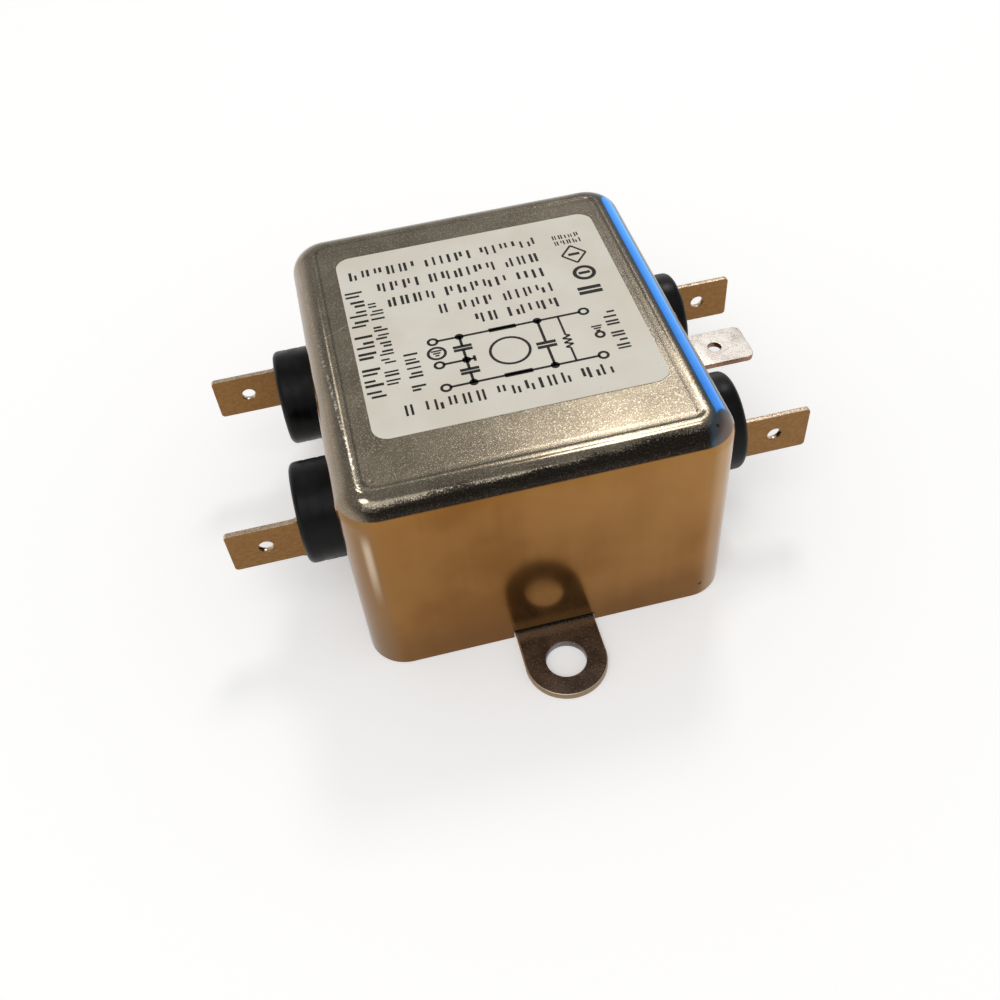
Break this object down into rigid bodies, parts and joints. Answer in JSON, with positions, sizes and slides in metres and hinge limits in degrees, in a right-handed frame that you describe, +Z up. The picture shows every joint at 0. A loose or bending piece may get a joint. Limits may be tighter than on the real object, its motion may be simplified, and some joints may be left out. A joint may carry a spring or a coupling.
{
  "type": "emi line filter",
  "caption": "Potted mains line filter in a drawn steel can, with push-on blades in round bushes, an earth tab and a base plate with screw ears.",
  "frame": {"origin": "bottom centre of the can, on the plane of the base plate's underside, midway between the two ear holes", "axes": "+X towards the line blades and the earth tab, +Y towards the rear ear, +Z up through the label"},
  "size_m": [0.0742, 0.0738, 0.0289],
  "materials": {
    "can_steel": "drawn steel with a mottled satin nickel plating on top and bright walls",
    "plate_steel": "stamped steel, dull plated, with bright burnished edges",
    "tinned_steel": "bright tin plate",
    "tinned_brass": "brass strip with a satin tin plate",
    "bush_plastic": "satin black moulding",
    "label_film": "off-white satin label stock",
    "label_ink": "black printing ink",
    "ferrite": "coated ferrite, satin",
    "fibre_board": "pressed fibre board",
    "enamelled_wire": "copper wire with clear enamel",
    "capacitor_case": "moulded box, satin yellow",
    "disc_coating": "dipped blue lacquer",
    "resistor_lacquer": "beige lacquer",
    "potting_resin": "dark brown cast resin"
  },
  "bodies": {
    "root": {"can": "can_steel", "base_plate": "plate_steel", "earth_tab": "tinned_steel", "label": "label_film", "choke_core": "ferrite", "choke_divider": "fibre_board", "choke_winding_front": "enamelled_wire", "choke_winding_rear": "enamelled_wire", "film_capacitor_line": "capacitor_case", "film_capacitor_load": "capacitor_case", "disc_capacitor_front": "disc_coating", "disc_capacitor_rear": "disc_coating", "bleed_resistor": "resistor_lacquer", "resin_filling": "potting_resin", "bush_line_front": "bush_plastic", "blade_line_front": "tinned_brass", "bush_line_rear": "bush_plastic", "blade_line_rear": "tinned_brass", "bush_load_front": "bush_plastic", "blade_load_front": "tinned_brass", "bush_load_rear": "bush_plastic", "blade_load_rear": "tinned_brass"}
  },
  "joints": []
}
